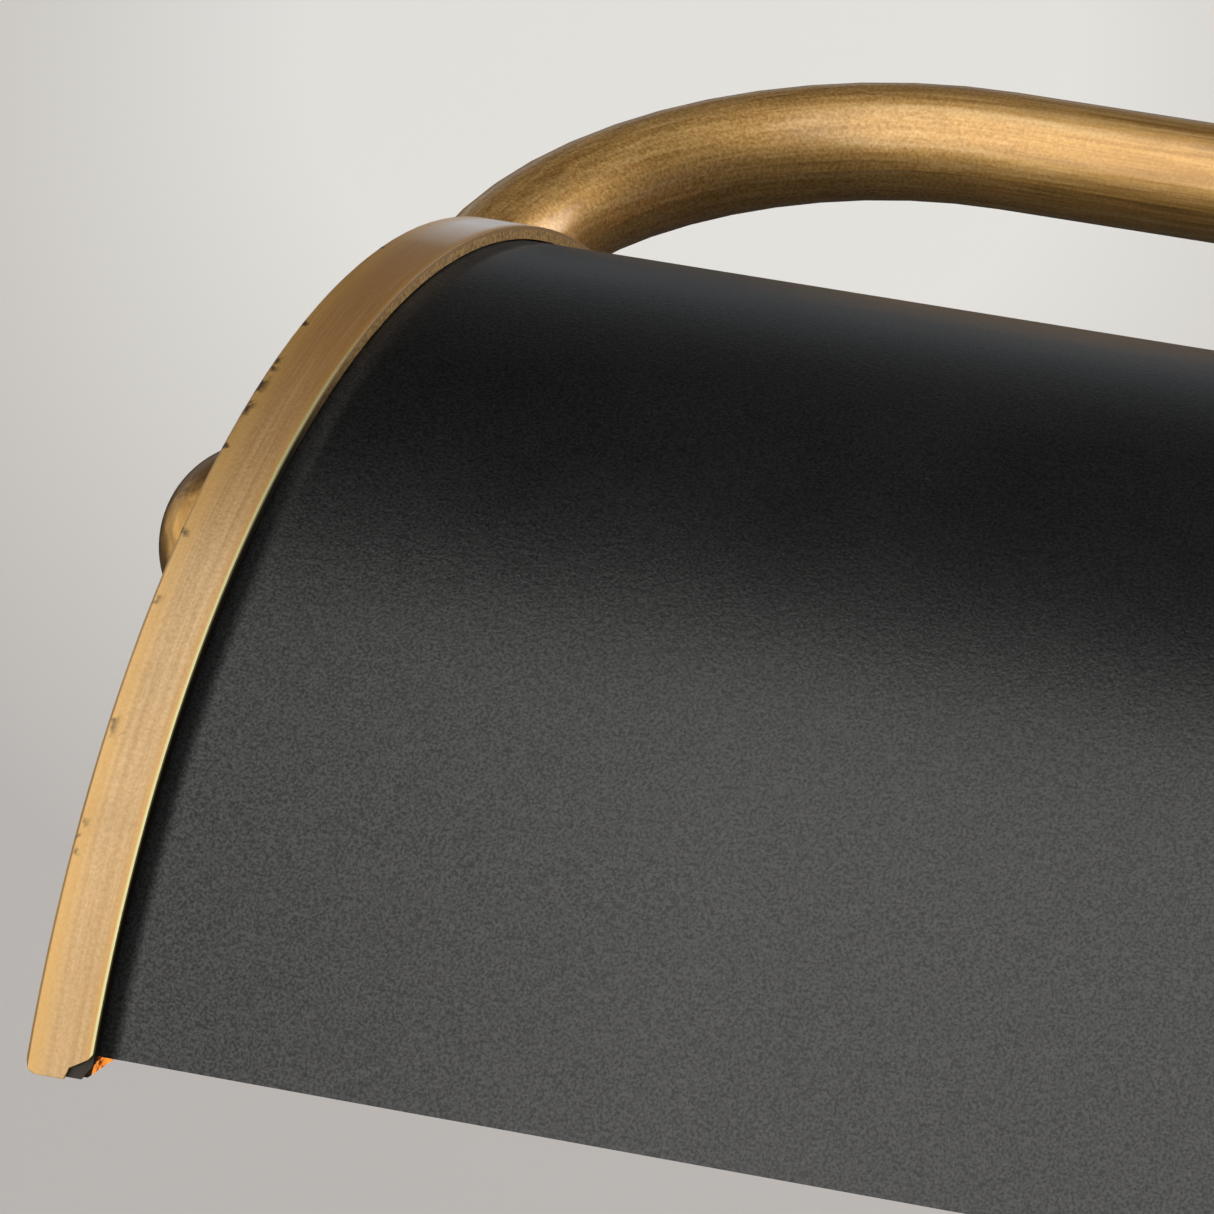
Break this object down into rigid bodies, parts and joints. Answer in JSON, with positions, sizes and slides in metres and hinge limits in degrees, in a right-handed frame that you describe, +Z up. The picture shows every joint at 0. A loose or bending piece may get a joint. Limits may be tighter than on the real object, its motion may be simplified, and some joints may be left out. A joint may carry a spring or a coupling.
{
  "type": "picture light",
  "caption": "Wall-mounted picture light: long arched shade tilting on ball-ended pivots in a bent brass tube yoke, on an arm from a round wall cover.",
  "frame": {"origin": "centre of the wall bracket's screw slots, on the wall surface", "axes": "+X along the shade, -Y into the room, +Y into the wall, +Z up"},
  "size_m": [0.535, 0.2187, 0.1467],
  "materials": {
    "black_powder_coat": "matt fine-textured powder coat",
    "aged_brass": "brushed and lacquered antique brass",
    "turned_brass": "plain turned brass",
    "dark_steel": "black oxide",
    "zinc_steel": "bright zinc plate",
    "white_enamel": "gloss white enamel",
    "nylon": "natural nylon",
    "black_bakelite": "moulded phenolic",
    "clear_glass": "clear",
    "filament": "phosphor-coated filament rods",
    "terminal_plastic": "moulded polyamide",
    "wire_insulation": "silicone insulation"
  },
  "bodies": {
    "wall_mount": {"arm_collar": "aged_brass", "arm_lead": "wire_insulation", "arm_nut": "turned_brass", "arm_tee": "aged_brass", "arm_tube": "aged_brass", "bracket_posts": "zinc_steel", "cover_nuts": "aged_brass", "earth_screw": "zinc_steel", "friction_washer_left": "nylon", "friction_washer_right": "nylon", "pivot_ball_left": "aged_brass", "pivot_ball_right": "aged_brass", "pivot_nipple_left": "turned_brass", "pivot_nipple_right": "turned_brass", "pivot_nut_left": "turned_brass", "pivot_nut_right": "turned_brass", "spring_washer_left": "zinc_steel", "spring_washer_right": "zinc_steel", "tee_collars": "aged_brass", "tee_set_screws": "dark_steel", "terminal_block": "terminal_plastic", "terminal_carrier": "zinc_steel", "terminal_screw": "zinc_steel", "wall_bracket": "zinc_steel", "wall_cover": "aged_brass", "yoke_lead": "wire_insulation", "yoke_tube": "aged_brass"},
    "shade": {"shade_shell": "black_powder_coat", "end_cap_left": "aged_brass", "end_cap_right": "aged_brass", "pivot_bush_left": "nylon", "pivot_bush_right": "nylon", "lamp_rail": "white_enamel", "rail_studs": "zinc_steel", "rail_nuts": "zinc_steel", "bracket_screws": "zinc_steel", "shade_wires": "wire_insulation", "holder_bracket_left": "zinc_steel", "holder_bracket_right": "zinc_steel", "lampholder_left": "black_bakelite", "lampholder_right": "black_bakelite", "holder_nut_left": "black_bakelite", "holder_nut_right": "black_bakelite", "lamp_cap_left": "turned_brass", "lamp_cap_right": "turned_brass", "lamp_glass_left": "clear_glass", "lamp_glass_right": "clear_glass", "lamp_filament_left": "filament", "lamp_filament_right": "filament"}
  },
  "joints": [
    {"name": "shade_tilt", "type": "hinge", "parent": "wall_mount", "child": "shade", "pos_m": [0, -0.14762, 0.064], "axis": [1, 0, 0], "range_deg": [-40, 70]}
  ]
}
